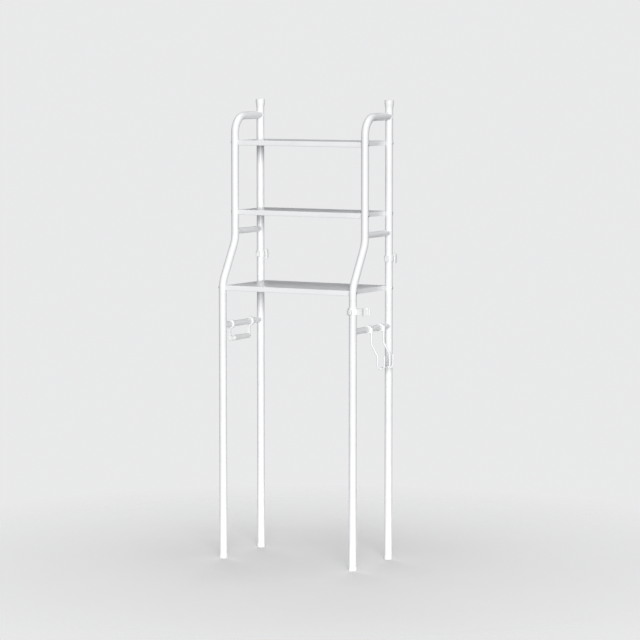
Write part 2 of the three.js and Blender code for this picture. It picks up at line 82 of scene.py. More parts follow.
BOLT_HEAD_R = 4 * MM
BOLT_HEAD_TOP = 14.6 * MM       # from the post's centre line
BOLT_SUNK = 1.2 * MM            # the head's underside, inside the post's radius
BOLT_RIM = 1.0 * MM             # the end of the head's straight side, outside that radius
BOLT_CROWN_R = 2.9 * MM         # the flat on top of the head: its outer edge,
BOLT_CROWN_HOLE_R = 2.0 * MM    # and its inner edge, about the socket
BOLT_RIM_ROUND = 0.7 * MM
BOLT_CROWN_ROUND = 0.6 * MM
SOCKET_HALF_W = 1.6 * MM        # hexagon socket, half its width across flats
SOCKET_LIP = 0.3 * MM           # depths below the top of the head: the countersink,
SOCKET_DEEP = 1.9 * MM          # the end of the flats
SOCKET_POINT = 2.3 * MM         # and the point of the drilled end
BOLT_R = 2.5 * MM
BOLT_END = 18 * MM              # thread end, on the other side of the post
BOLT_TIP = 0.4 * MM             # the tip's length beyond the thread
BOLT_TIP_IN = 0.7 * MM          # how far the tip is drawn in from the thread's radius
THREAD_PITCH = 0.8 * MM
THREAD_DEEP = 0.35 * MM
THREAD_TURNS = 6
BOLT_SEGMENTS = 48

RING_R = 14.5 * MM              # clip rings on the side rails
RING_L = 11 * MM
RING_SLOT = 13 * MM
RING_EDGE = 1.2 * MM            # edge radius of clip rings and wall collars

VOXEL = 0.5 * MM                # grid of the moulded pieces
SOFTEN_ROUNDS = 5
SOFTEN_FACTOR = 0.5
SHARP_ANGLE = 38                # degrees between two faces, from which their edge is drawn hard
CORNER_STEPS = 6
TUBE_BEND_STEP = math.radians(2.5)
WIRE_BEND_STEP = math.radians(5)
TUBE_SEGMENTS = 64
ROUND_SEGMENTS = 72
WIRE_SEGMENTS = 28
SMALL_SEGMENTS = 32             # screw holes and the beads of the jaw's mouth

NOISE_LOW, NOISE_HIGH = 0.3, 0.7        # most of a noise texture's values lie between

RIGHT = Vector((1, 0, 0))
BACK = Vector((0, 1, 0))
UP = Vector((0, 0, 1))


def middle(node):
    low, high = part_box(node)
    return (low + high) / 2


LEG_Y = middle("left_front_leg").y
REAR_Y = middle("left_rear_post_lower").y
FRONT_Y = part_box("middle_shelf")[0].y + LIP_OUT
ARCH_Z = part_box("left_front_upper_tube")[1].z - POST_R * CAD_FACET
BRACE_Z = middle("left_upper_brace").z
RAIL_Z = middle("left_side_rail").z
POST_X = {side: middle(f"{side}_front_leg").x for side in ("left", "right")}
OUTWARD = {"left": -1, "right": 1}

# ---------------------------------------------------------------- mesh building


def add_object(name, data):
    obj = bpy.data.objects.new(name, data)
    bpy.context.scene.collection.objects.link(obj)
    return obj


def mesh_object(name, vertices, faces):
    mesh = bpy.data.meshes.new(name)
    mesh.from_pydata([tuple(v) for v in vertices], [], faces)
    obj = add_object(name, mesh)
    tidy(obj)
    return obj


def tidy(obj, sharp_angle=SHARP_ANGLE):
    """Turns the faces outwards and shades them smooth, with hard edges where faces meet sharply."""
    bm = bmesh.new()
    bm.from_mesh(obj.data)
    bmesh.ops.recalc_face_normals(bm, faces=bm.faces)
    limit = math.radians(sharp_angle)
    for face in bm.faces:
        face.smooth = True
    for edge in bm.edges:
        edge.smooth = edge.calc_face_angle(0) < limit
    bm.to_mesh(obj.data)
    bm.free()


def apply_modifiers(obj):
    depsgraph = bpy.context.evaluated_depsgraph_get()
    mesh = bpy.data.meshes.new_from_object(obj.evaluated_get(depsgraph))
    obj.modifiers.clear()
    obj.data = mesh


def merged(name, parts):
    """One object with the meshes of several, which are removed."""
    bm = bmesh.new()
    for part in parts:
        bm.from_mesh(part.data)
        bpy.data.objects.remove(part)
    mesh = bpy.data.meshes.new(name)
    bm.to_mesh(mesh)
    bm.free()
    obj = add_object(name, mesh)
    tidy(obj)
    return obj


def loft(name, rings, closed=False):
    """Quads between rings of equal length. A closed loft joins its last ring to its first."""
    count = len(rings[0])
    vertices = [point for ring in rings for point in ring]
    faces = []
    for i in range(len(rings) if closed else len(rings) - 1):
        a = i * count
        b = (i + 1) % len(rings) * count
        for j in range(count):
            k = (j + 1) % count
            faces.append((a + j, a + k, b + k, b + j))
    if not closed:
        faces.append(tuple(range(count)))
        faces.append(tuple(range(len(vertices) - count, len(vertices))))
    return mesh_object(name, vertices, faces)


def circle(radius, count):
    turns = [2 * math.pi * i / count for i in range(count)]
    return [(radius * math.cos(t), radius * math.sin(t)) for t in turns]


def rounded(points, radii, closed=False):
    """A 2-D outline with its corners rounded; a radius of 0 leaves a corner sharp."""
    count = len(points)
    outline = []
    for i, (point, radius) in enumerate(zip(points, radii)):
        corner = Vector(point)
        if radius == 0 or (not closed and i in (0, count - 1)):
            outline.append(tuple(corner))
            continue
        before = (Vector(points[i - 1]) - corner).normalized()
        after = (Vector(points[(i + 1) % count]) - corner).normalized()
        half = before.angle(after) / 2
        reach = radius / math.tan(half)
        centre = corner + (before + after).normalized() * radius / math.sin(half)
        start = corner + before * reach - centre
        end = corner + after * reach - centre
        turn = start.angle_signed(end)
        for k in range(CORNER_STEPS + 1):
            spun = Matrix.Rotation(-turn * k / CORNER_STEPS, 2) @ start
            outline.append(tuple(centre + spun))
    return outline


def axes(along):
    """A frame whose third axis is the given one."""
    side = RIGHT if abs(along.x) < 0.9 else BACK
    across = side.cross(along).normalized()
    return across, along.cross(across).normalized(), along


def revolve(name, profile, origin, along, segments=ROUND_SEGMENTS):
    """Turns (radius, distance) points about a line. A radius may be a function of the angle."""
    across, other, along = axes(Vector(along))
    vertices, faces, rows = [], [], []
    for radius, distance in profile:
        centre = origin + along * distance
        if not callable(radius) and radius == 0:
            rows.append([len(vertices)])
            vertices.append(centre)
            continue
        rows.append(list(range(len(vertices), len(vertices) + segments)))
        for i in range(segments):
            angle = 2 * math.pi * i / segments
            r = radius(angle) if callable(radius) else radius
            vertices.append(centre + (across * math.cos(angle) + other * math.sin(angle)) * r)
    pairs = list(zip(rows, rows[1:]))
    if len(rows[0]) > 1:
        pairs.append((rows[-1], rows[0]))
    for low, high in pairs:
        for i in range(segments):
            k = (i + 1) % segments
            if len(low) == 1:
                faces.append((low[0], high[k], high[i]))
            elif len(high) == 1:
                faces.append((low[i], low[k], high[0]))
            else:
                faces.append((low[i], low[k], high[k], high[i]))
    return mesh_object(name, vertices, faces)


def prism(outline, low, high, origin, u, v, w):
    """An outline in the plane of u and v, carried along w from low to high."""
    rings = [[origin + u * a + v * b + w * d for a, b in outline] for d in (low, high)]
    return loft("solid", rings)


def box_outline(u_low, u_high, v_low, v_high):
    return [(u_low, v_low), (u_high, v_low), (u_high, v_high), (u_low, v_high)]


# ---------------------------------------------------------------- tubes


def bent(corners, radii, step=TUBE_BEND_STEP):
    """Stations (point, direction) along straight runs joined by circular bends."""
    corners = [Vector(c) for c in corners]
    heading = (corners[1] - corners[0]).normalized()
    stations = [(corners[0], heading)]
    for i, radius in enumerate(radii, start=1):
        heading = (corners[i] - corners[i - 1]).normalized()
        leaving = (corners[i + 1] - corners[i]).normalized()
        angle = heading.angle(leaving)
        axis = heading.cross(leaving).normalized()
        start = corners[i] - heading * radius * math.tan(angle / 2)
        centre = start + axis.cross(heading) * radius
        steps = math.ceil(angle / step)
        for k in range(steps + 1):
            turn = Matrix.Rotation(angle * k / steps, 3, axis)
            stations.append((centre + turn @ (start - centre), turn @ heading))
    stations.append((corners[-1], (corners[-1] - corners[-2]).normalized()))
    return stations


def straight(start, end):
    return bent([start, end], [])


def chamfered(stations, radius, at_start, at_end):
    """Stations with their radii, drawn in a little at each sawn end."""
    sized = [(point, heading, radius) for point, heading in stations]
    if at_start:
        point, heading, _ = sized[0]
        sized[0] = (point, heading, radius - END_CHAMFER)
        sized.insert(1, (point + heading * END_CHAMFER, heading, radius))
    if at_end:
        point, heading, _ = sized[-1]
        sized[-1] = (point, heading, radius - END_CHAMFER)
        sized.insert(-1, (point - heading * END_CHAMFER, heading, radius))
    return sized


def swept(sized, across, segments):
    """Round rings about stations (point, direction, radius), carried along without a twist."""
    rings = []
    before = sized[0][1]
    for point, heading, radius in sized:
        across = before.rotation_difference(heading) @ across
        before = heading
        other = heading.cross(across)
        rings.append([point + across * a + other * b for a, b in circle(radius, segments)])
    return rings


def tube(name, stations, radius, start_post=None, end_post=None):
    """A hollow tube. An end that meets a post is cut to lie on it; the others are sawn square."""
    outer = chamfered(stations, radius, start_post is None, end_post is None)
    walls = []
    for sized in (outer, chamfered(stations, radius - WALL, False, False)):
        rings = swept(sized, RIGHT, TUBE_SEGMENTS)
        if start_post:
            cope(rings[0], *start_post)
        if end_post:
            cope(rings[-1], *end_post)
        walls.append(rings)
    return loft(name, walls[0] + walls[1][::-1], closed=True)


def cope(ring, x, y, side):
    """Slides a ring's points along Y on to a post at (x, y). side is -1 in front of it, 1 behind."""
    for point in ring:
        point.y = y + side * math.sqrt(max(POST_R**2 - (point.x - x) ** 2, 0))


def weld(name, x, y, side, z, branch_r):
    """The rippled bead where a tube of radius branch_r meets a post at (x, y)."""
    ripples = round(2 * math.pi * branch_r / WELD_PITCH)
    rings = []
    for i in range(WELD_STEPS * ripples):
        angle = 2 * math.pi * i / (WELD_STEPS * ripples)
        out = Vector((math.cos(angle), 0, math.sin(angle)))
        depth = math.sqrt(max(POST_R**2 - (branch_r * out.x) ** 2, 0))
        centre = Vector((x, y + side * depth, z)) + out * branch_r
        radius = WELD_R * (1 + WELD_RIPPLE * math.sin(angle * ripples))
        section = circle(radius, WELD_SEGMENTS)
        rings.append([centre + out * a + BACK * side * b for a, b in section])
    return loft(name, rings, closed=True)


# ---------------------------------------------------------------- moulded pieces


def boolean(obj, tool, operation):
    modifier = obj.modifiers.new(operation, "BOOLEAN")
    modifier.object = tool
    modifier.operation = operation
    modifier.solver = "EXACT"
    apply_modifiers(obj)
    bpy.data.objects.remove(tool)


def moulded(name, solids, cuts, keep=None):
    """A plastic moulding: solids joined and cut, then remeshed so that every edge is soft."""
    body = solids[0]
    for solid in solids[1:]:
        boolean(body, solid, "UNION")
    for tool in cuts:
        boolean(body, tool, "DIFFERENCE")
    if keep:
        boolean(body, keep, "INTERSECT")
    remesh = body.modifiers.new("grid", "REMESH")
    remesh.mode = "VOXEL"
    remesh.voxel_size = VOXEL
    soften = body.modifiers.new("soften", "SMOOTH")
    soften.factor = SOFTEN_FACTOR
    soften.iterations = SOFTEN_ROUNDS
    apply_modifiers(body)
    body.name = name
    body.data.name = name
    tidy(body, sharp_angle=180)
    return body


def rod(radius, low, high, origin, along, segments=ROUND_SEGMENTS):
    profile = [(0, low), (radius, low), (radius, high), (0, high)]
    return revolve("solid", profile, origin, along, segments)


# ---------------------------------------------------------------- materials


class Graph:
    """A material's node tree, with short calls for the nodes that the finishes share."""

    def __init__(self, name):
        self.material = bpy.data.materials.new(name)
        self.material.use_nodes = True
        self.tree = self.material.node_tree
        self.shader = self.tree.nodes["Principled BSDF"]
        self.place = self.tree.nodes.new("ShaderNodeTexCoord").outputs["Object"]

    def link(self, source, target):
        self.tree.links.new(source, target)
        return source

    def noise(self, scale, detail=2.0, stretch=None):
        """Noise with scale cells to the metre, more of them along an axis that stretch raises."""
        node = self.tree.nodes.new("ShaderNodeTexNoise")
        node.inputs["Scale"].default_value = scale
        node.inputs["Detail"].default_value = detail
        source = self.place
        if stretch:
            mapping = self.tree.nodes.new("ShaderNodeMapping")
            mapping.inputs["Scale"].default_value = stretch
            self.link(self.place, mapping.inputs["Vector"])
            source = mapping.outputs["Vector"]
        self.link(source, node.inputs["Vector"])
        return node.outputs["Fac"]

    def cells(self, scale):
        """Round cells, scale of them to the metre."""
        node = self.tree.nodes.new("ShaderNodeTexVoronoi")
        node.inputs["Scale"].default_value = scale
        self.link(self.place, node.inputs["Vector"])
        return node.outputs["Distance"]

    def remap(self, value, low, high, to_low, to_high):
        node = self.tree.nodes.new("ShaderNodeMapRange")
        for key, number in zip(
            ("From Min", "From Max", "To Min", "To Max"), (low, high, to_low, to_high)
        ):
            node.inputs[key].default_value = number
        self.link(value, node.inputs["Value"])
        return node.outputs["Result"]

    def colour(self, value, stops):
        node = self.tree.nodes.new("ShaderNodeValToRGB")
        ramp = node.color_ramp
        while len(ramp.elements) < len(stops):
            ramp.elements.new(0.5)
        for element, (position, rgb) in zip(ramp.elements, stops):
            element.position = position
            element.color = (*rgb, 1)
        self.link(value, node.inputs["Fac"])
        self.link(node.outputs["Color"], self.shader.inputs["Base Color"])

    def rough(self, value, low, high):
        spread = self.remap(value, NOISE_LOW, NOISE_HIGH, low, high)
        self.link(spread, self.shader.inputs["Roughness"])

    def bumps(self, *layers):
        """Bump layers (height value, depth in metres), each laid over the one before."""
        normal = None
        for value, depth in layers:
            node = self.tree.nodes.new("ShaderNodeBump")
            node.inputs["Distance"].default_value = depth
            self.link(value, node.inputs["Height"])
            if normal:
                self.link(normal, node.inputs["Normal"])
            normal = node.outputs["Normal"]
        self.link(normal, self.shader.inputs["Normal"])

    def set(self, **values):
        for key, value in values.items():
            self.shader.inputs[key.replace("_", " ")].default_value = value


def powder_coat(name, tint, roughness):
    """White powder coat: orange peel, a few soft dull patches and a faint change of white."""
    graph = Graph(name)
    patches = graph.noise(9, detail=3)
    graph.colour(patches, [(0.3, tuple(0.955 * c for c in tint)), (0.7, tint)])
    graph.rough(graph.noise(38, detail=4), roughness - 0.04, roughness + 0.07)
    peel = graph.noise(900)
    waves = graph.noise(170, detail=1)
    graph.bumps((waves, 0.05 * MM), (peel, 0.018 * MM))
    graph.set(Coat_Weight=0.25, Coat_Roughness=0.16, IOR=1.5)
    return graph.material


def moulded_plastic(name, tint, roughness, grain):
    """Injection-moulded plastic: a fine spark-eroded grain and faint flow marks."""
    graph = Graph(name)
    flow = graph.noise(60, detail=3, stretch=(1, 1, 0.35))
    graph.colour(flow, [(0.32, tuple(0.94 * c for c in tint)), (0.68, tint)])
    graph.rough(graph.noise(240, detail=3), roughness - 0.05, roughness + 0.08)
    graph.bumps((graph.noise(2600), grain), (graph.noise(120), 0.04 * MM))
    graph.set(IOR=1.49)
    return graph.material


def zinc_plate(name):
    """Zinc-plated steel: a mottled blue-grey passivation with fine polishing marks."""
    graph = Graph(name)
    spangle = graph.noise(700, detail=4)
    graph.colour(
        spangle,
        [(0.3, (0.74, 0.75, 0.78)), (0.55, (0.86, 0.865, 0.87)), (0.75, (0.90, 0.89, 0.85))],
    )
    graph.rough(graph.noise(1500, detail=3), 0.30, 0.46)
    graph.bumps((graph.noise(1800, stretch=(4, 1, 1)), 0.02 * MM))
    graph.set(Metallic=1.0)
    return graph.material


def drawn_steel(name):
    """Bare drawn tube: long scratches down its length and dull oxide patches."""
    graph = Graph(name)
    graph.colour(graph.noise(45, detail=5), [(0.35, (0.48, 0.47, 0.46)), (0.65, (0.68, 0.69, 0.70))])
    draw_marks = graph.noise(900, detail=3, stretch=(1, 1, 0.02))
    graph.rough(draw_marks, 0.28, 0.5)
    graph.bumps((draw_marks, 0.03 * MM))
    graph.set(Metallic=1.0)
    return graph.material


def foam(name):
    """Closed-cell foam: small round cells over a soft unevenness."""
    graph = Graph(name)
    graph.colour(graph.noise(300, detail=4), [(0.35, (0.62, 0.63, 0.64)), (0.65, (0.74, 0.745, 0.75))])
    graph.bumps((graph.cells(1400), 0.15 * MM), (graph.noise(250), 0.1 * MM))
    graph.rough(graph.noise(500), 0.85, 0.97)
    graph.set(Sheen_Weight=0.15)
    return graph.material


FINISH = {
    "tube_coat": powder_coat("tube_powder_coat", (0.90, 0.905, 0.915), 0.34),
    "shelf_coat": powder_coat("shelf_powder_coat", (0.895, 0.90, 0.905), 0.38),
    "wire_coat": powder_coat("wire_epoxy_coat", (0.89, 0.895, 0.90), 0.30),
    "sleeve_steel": drawn_steel("drawn_sleeve_steel"),
    "fastener_steel": zinc_plate("zinc_plated_fasteners"),
    "cap_plastic": moulded_plastic("cap_moulding", (0.87, 0.872, 0.868), 0.46, 0.03 * MM),
    "clip_plastic": moulded_plastic("clip_moulding", (0.88, 0.885, 0.885), 0.36, 0.018 * MM),
    "wall_pad_foam": foam("wall_pad_foam_cells"),
}
SLOT_OF = {row["node"]: row["material_slot"] for row in frame["record"]["subparts"]}
BODY_OF = {
    node: body
    for body, members in frame["record"]["behaviour"]["bodies"].items()
    for node in members
}


def stand_for(obj, node):
    """Gives a piece its CAD node's body and finish, and hides the CAD node."""
    paint(obj, SLOT_OF[node], BODY_OF[node])
    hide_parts(node)


def paint(obj, slot, body):
    obj.data.materials.clear()
    obj.data.materials.append(FINISH[slot])
    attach(obj, body)


# ---------------------------------------------------------------- side frames


def make_upright_tubes(side):
    x = POST_X[side]
    for node, radius in (
        ("front_leg", POST_R), ("rear_post_lower", POST_R), ("rear_post_upper", POST_R),
        ("front_sleeve", SLEEVE_R), ("rear_sleeve", SLEEVE_R),
    ):
        low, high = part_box(f"{side}_{node}")
        y = (low.y + high.y) / 2
        line = straight((x, y, low.z), (x, y, high.z))
        stand_for(tube(f"{side}_{node}_fine", line, radius), f"{side}_{node}")


def make_front_upper_tube(side):
    x = POST_X[side]
    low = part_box(f"{side}_front_upper_tube")[0]
    corners = [
        (x, LEG_Y, low.z),
        (x, LEG_Y, KINK_LOW_Z),
        (x, FRONT_Y, KINK_TOP_Z),
        (x, FRONT_Y, ARCH_Z),
        (x, REAR_Y, ARCH_Z),
    ]
    line = bent(corners, [KINK_BEND_R, KINK_BEND_R, ARCH_BEND_R])
    piece = tube(f"{side}_front_upper_tube_fine", line, POST_R, end_post=(x, REAR_Y, -1))
    stand_for(piece, f"{side}_front_upper_tube")
    paint(weld(f"{side}_arch_weld", x, REAR_Y, -1, ARCH_Z, POST_R), "tube_coat", "rack")


def make_cross_tube(side, node, front_y, z):
    x = POST_X[side]
    line = straight((x, front_y, z), (x, REAR_Y, z))
    piece = tube(
        f"{side}_{node}_fine", line, RAIL_R, start_post=(x, front_y, 1), end_post=(x, REAR_Y, -1)
    )
    stand_for(piece, f"{side}_{node}")
    for end, y, facing in (("front", front_y, 1), ("rear", REAR_Y, -1)):
        paint(weld(f"{side}_{node}_{end}_weld", x, y, facing, z, RAIL_R), "tube_coat", "rack")


# Half section of a cap in millimetres (radius, distance from the closed end), with corner radii.
# The foot's closed end has a shallow dish; both bores are 0.2 mm clear of the tube.
FOOT_PROFILE = [
    ((0, 0.5), 0), ((9.5, 0.5), 0.4), ((10.2, 0), 0.4), ((14.5, 0), 1.2), ((14.5, 8), 3),
    ((13.7, 12.5), 4), ((13.7, 17), 0.4), ((12.7, 17), 0.3), ((12.7, 4), 0.5), ((0, 4), 0),
]
TOP_PROFILE = [
    ((0, 0), 0), ((15, 0), 1.2), ((15, 12.5), 4),
    ((13.7, 20.5), 5), ((13.7, 24), 0.4), ((12.7, 24), 0.3), ((12.7, 4), 0.5), ((0, 4), 0),
]


def make_cap(node, profile, z, along):
    points = rounded([p for p, _ in profile], [r for _, r in profile])
    centre = middle(node)
    piece = revolve(
        f"{node}_fine",
        [(r * MM, h * MM) for r, h in points],
        Vector((centre.x, centre.y, z)),
        along,
    )
    stand_for(piece, node)


for side in ("left", "right"):
    make_upright_tubes(side)
    make_front_upper_tube(side)
    make_cross_tube(side, "upper_brace", FRONT_Y, BRACE_Z)
    make_cross_tube(side, "side_rail", LEG_Y, RAIL_Z)
    for foot in ("front_foot", "rear_foot"):
        make_cap(f"{side}_{foot}", FOOT_PROFILE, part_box(f"{side}_{foot}")[0].z, UP)
    make_cap(f"{side}_top_cap", TOP_PROFILE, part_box(f"{side}_top_cap")[1].z, -UP)

# ---------------------------------------------------------------- shelves and their bolts


def folded_sheet(low, high):
    """A deck with a front lip folded down and under, and side and back edges folded down."""
    left, right = low.x, high.x
    front, back, top = low.y, high.y, high.z
    edge, lip = top - EDGE_H, low.z
    corners = {
        "A": (left, front), "B": (right, front), "C": (right, back), "D": (left, back),
    }
    bm = bmesh.new()
    v = {}
    for key, (x, y) in corners.items():
        v[key] = bm.verts.new((x, y, top))
        v[key + "edge"] = bm.verts.new((x, y, edge))
    for key in "AB":
        x, y = corners[key]
        v[key + "lip"] = bm.verts.new((x, y, lip))
        v[key + "under"] = bm.verts.new((x, y + LIP_RETURN, lip))
    for keys in (
        ("A", "B", "C", "D"),
        ("A", "Aedge", "Alip", "Blip", "Bedge", "B"),
        ("Alip", "Aunder", "Bunder", "Blip"),
        ("B", "Bedge", "Cedge", "C"),
        ("C", "Cedge", "Dedge", "D"),
        ("D", "Dedge", "Aedge", "A"),
    ):
        bm.faces.new([v[key] for key in keys])
    folds = [("A", "B"), ("B", "C"), ("C", "D"), ("D", "A"), ("Alip", "Blip")]
    bmesh.ops.bevel(
        bm,
        geom=[bm.edges.get((v[a], v[b])) for a, b in folds],
        offset=SHELF_FOLD_R,
        segments=FOLD_SEGMENTS,
        profile=0.5,            # a round fold
        affect="EDGES",
        clamp_overlap=True,
    )
    bmesh.ops.recalc_face_normals(bm, faces=bm.faces)
    mesh = bpy.data.meshes.new("sheet")
    bm.to_mesh(mesh)
    bm.free()
    obj = add_object("sheet", mesh)
    thick = obj.modifiers.new("thickness", "SOLIDIFY")
    thick.thickness = SHEET
    thick.offset = -1           # all of it on the inside
    apply_modifiers(obj)
    return obj


def weld_nut(x, y, z, outward):
    """A hexagonal weld nut inside a shelf's side edge."""
    profile = [(BOLT_R, 0), (NUT_R, 0), (NUT_R, NUT_L), (BOLT_R, NUT_L)]
    return revolve("nut", profile, Vector((x, y, z)), RIGHT * -outward, segments=6)


def make_shelf(name):
    low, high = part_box(f"{name}_shelf")
    bolt_z = high.z - EDGE_H / 2
    parts = [folded_sheet(low, high)]
    for side, x in (("left", low.x + SHEET), ("right", high.x - SHEET)):
        for y in (low.y + LIP_OUT, REAR_Y):
            parts.append(weld_nut(x, y, bolt_z, OUTWARD[side]))
    stand_for(merged(f"{name}_shelf_fine", parts), f"{name}_shelf")


def hexagon(flat):
    """Radius of a hexagon of that half width across flats, as a function of the angle."""
    sixth = math.pi / 3
    return lambda angle: flat / math.cos((angle + sixth / 2) % sixth - sixth / 2)


def make_bolt(node):
    """A button-head bolt with a hexagon socket; its thread ends in the shelf's nut."""
    side = "left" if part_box(node)[0].x < POST_X["left"] - POST_R else "right"
    centre = middle(node)
    origin = Vector((POST_X[side], centre.y, centre.z))
    under = POST_R - BOLT_SUNK
    tip = -BOLT_END - BOLT_TIP
    profile = [(0, tip), (BOLT_R - BOLT_TIP_IN, tip)]
    for i in range(THREAD_TURNS):
        at = -BOLT_END + i * THREAD_PITCH
        profile += [(BOLT_R - THREAD_DEEP, at), (BOLT_R, at + THREAD_PITCH / 2)]
    profile += [(BOLT_R, -BOLT_END + THREAD_TURNS * THREAD_PITCH), (BOLT_R, under)]
    profile += rounded(
        [
            (BOLT_HEAD_R, under),
            (BOLT_HEAD_R, POST_R + BOLT_RIM),
            (BOLT_CROWN_R, BOLT_HEAD_TOP),
            (BOLT_CROWN_HOLE_R, BOLT_HEAD_TOP),
        ],
        [0, BOLT_RIM_ROUND, BOLT_CROWN_ROUND, 0],
    )
    socket = hexagon(SOCKET_HALF_W)
    profile += [
        (socket, BOLT_HEAD_TOP - SOCKET_LIP),
        (socket, BOLT_HEAD_TOP - SOCKET_DEEP),
        (0, BOLT_HEAD_TOP - SOCKET_POINT),
    ]
    piece = revolve(f"{node}_fine", profile, origin, RIGHT * OUTWARD[side], BOLT_SEGMENTS)
    stand_for(piece, node)


for name in ("top", "middle", "lower"):
    make_shelf(name)
    for side in ("left", "right"):
        for end in ("front", "rear"):
            make_bolt(f"{name}_shelf_bolt_{side}_{end}")

# ---------------------------------------------------------------- clips on the side rails


def rail_clip(origin, mouth_side, extras, bore_too=()):
    """A snap-on ring about the rail, with its mouth on one side of X, joined to extra solids."""
    half = RING_L / 2
    barrel = rounded(
        [(0, -half), (RING_R, -half), (RING_R, half), (0, half)], [0, RING_EDGE, RING_EDGE, 0]
    )
    ring = revolve("solid", barrel, origin, BACK)
    mouth = prism(
        box_outline(0, 2 * RING_R, -RING_SLOT / 2, RING_SLOT / 2),
        -RING_L, RING_L, origin, RIGHT * mouth_side, UP, BACK,
    )
    bore = rod(RAIL_R + FIT / 2, -RING_L, RING_L, origin, BACK)
    return [ring, *extras], [bore, mouth, *bore_too]


PAPER_OUT = 6 * MM
PAPER_ARM = 6 * MM
PAPER_ARM_W = 9 * MM
PAPER_BOSS_R = 7 * MM
PAPER_BOSS_EDGE = 0.9 * MM
PIN_R = 5 * MM
PIN_L = 6 * MM
PIN_EDGE = 1.4 * MM

ROLLER_WIDE_R = 9 * MM
ROLLER_SLIM_R = 8.1 * MM
ROLLER_BORE_R = 5.3 * MM
ROLLER_EDGE = 0.6 * MM          # the bevel at both ends
ROLLER_SPLIT = 0.55             # where the wide half stops, as a share of the length
STEP_BEVEL_L = 0.5 * MM         # the bevel of the wide half there
STEP_BEVEL_DEEP = 0.4 * MM
STEP_FACE_L = 0.1 * MM
GRIPS = 5                       # grip rings round the wide half
GRIPS_FROM = 8 * MM
GRIP_PITCH = 3 * MM
GRIP_W = 1.8 * MM
GRIP_SLOPE = 0.5 * MM
GRIP_DEEP = 0.6 * MM


def make_paper_clip(node, ring_y, inward):
    """One arm of the roll holder; inward is the way along Y to the other arm."""
    outward = OUTWARD["left"]
    origin = Vector((POST_X["left"], ring_y, RAIL_Z))
    pivot = Vector((POST_X["left"] + outward * PAPER_OUT, ring_y, middle("paper_roller").z))
    half = PAPER_ARM / 2
    width = PAPER_ARM_W / 2
    drop = RAIL_Z - pivot.z
    strip = prism(box_outline(-width, width, 0, drop - RAIL_R), -half, half, pivot, RIGHT, UP, BACK)
    boss = revolve(
        "solid",
        rounded(
            [(0, -half), (PAPER_BOSS_R, -half), (PAPER_BOSS_R, half), (0, half)],
            [0, PAPER_BOSS_EDGE, PAPER_BOSS_EDGE, 0],
        ),
        pivot, BACK * inward,
    )
    pin_end = half + PIN_L
    pin = revolve(
        "solid",
        rounded([(0, 0), (PIN_R, 0), (PIN_R, pin_end), (0, pin_end)], [0, 0, PIN_EDGE, 0]),
        pivot, BACK * inward,
    )
    solids, cuts = rail_clip(origin, outward, [strip, boss, pin])
    stand_for(moulded(f"{node}_fine", solids, cuts), node)


def make_paper_roller():
    """The roller's one tube: a wide half with grip rings, and a slightly slimmer half."""
    low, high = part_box("paper_roller")
    centre = middle("paper_roller")
    length = high.y - low.y
    step = length * ROLLER_SPLIT
    profile = [(ROLLER_WIDE_R - ROLLER_EDGE, 0), (ROLLER_WIDE_R, ROLLER_EDGE)]
    for i in range(GRIPS):
        at = GRIPS_FROM + GRIP_PITCH * i
        profile += [
            (ROLLER_WIDE_R, at),
            (ROLLER_WIDE_R - GRIP_DEEP, at + GRIP_SLOPE),
            (ROLLER_WIDE_R - GRIP_DEEP, at + GRIP_W - GRIP_SLOPE),
            (ROLLER_WIDE_R, at + GRIP_W),
        ]
    profile += [
        (ROLLER_WIDE_R, step - STEP_BEVEL_L),
        (ROLLER_WIDE_R - STEP_BEVEL_DEEP, step),
        (ROLLER_SLIM_R, step + STEP_FACE_L),
        (ROLLER_SLIM_R, length - ROLLER_EDGE),
        (ROLLER_SLIM_R - ROLLER_EDGE, length),
        (ROLLER_BORE_R, length),
        (ROLLER_BORE_R, 0),
    ]
    origin = Vector((centre.x, low.y, centre.z))
    stand_for(revolve("paper_roller_fine", profile, origin, BACK), "paper_roller")


front_ring_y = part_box("paper_clip_front")[0].y + RING_L / 2
rear_ring_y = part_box("paper_clip_rear")[1].y - RING_L / 2
make_paper_clip("paper_clip_front", front_ring_y, 1)
make_paper_clip("paper_clip_rear", rear_ring_y, -1)
make_paper_roller()

HANGER_OUT = 13 * MM
LUG_R = 5.2 * MM
LUG_LOW = -13 * MM
LUG_HIGH = 6 * MM
LUG_EDGE_LOW = 1 * MM
LUG_EDGE_HIGH = 2 * MM
WIRE_R = 3 * MM
WIRE_SOCKET = 8 * MM
WIRE_KNEE = -48 * MM            # heights from the rail: the bend outwards,
WIRE_ELBOW = -88 * MM           # the bend back to vertical
WIRE_FOOT = -128 * MM           # and the bottom bar
WIRE_STEP = 23 * MM
WIRE_BEND_R = 14 * MM
WIRE_CORNER_R = 10 * MM
HOOK_OUT = 18 * MM
HOOK_UP = 44 * MM
HOOK_BEND_R = 9 * MM
HOOK_INSET = 12 * MM
HOOK_ROOT = 0.5 * MM            # where a hook starts, outside the wire's centre line
HOOK_WELD_OUT = 2.2 * MM        # the middle of its weld
HOOK_WELD_SEGMENTS = 24
# Half section of that weld in millimetres (radius, distance from its middle).
HOOK_WELD_PROFILE = [(0, -2.6), (3.3, -2.0), (4.0, 0), (3.3, 2.0), (0, 2.6)]
DOME_ANGLES = (12, 35, 60, 78)  # degrees from a wire end's tip to each ring of its dome


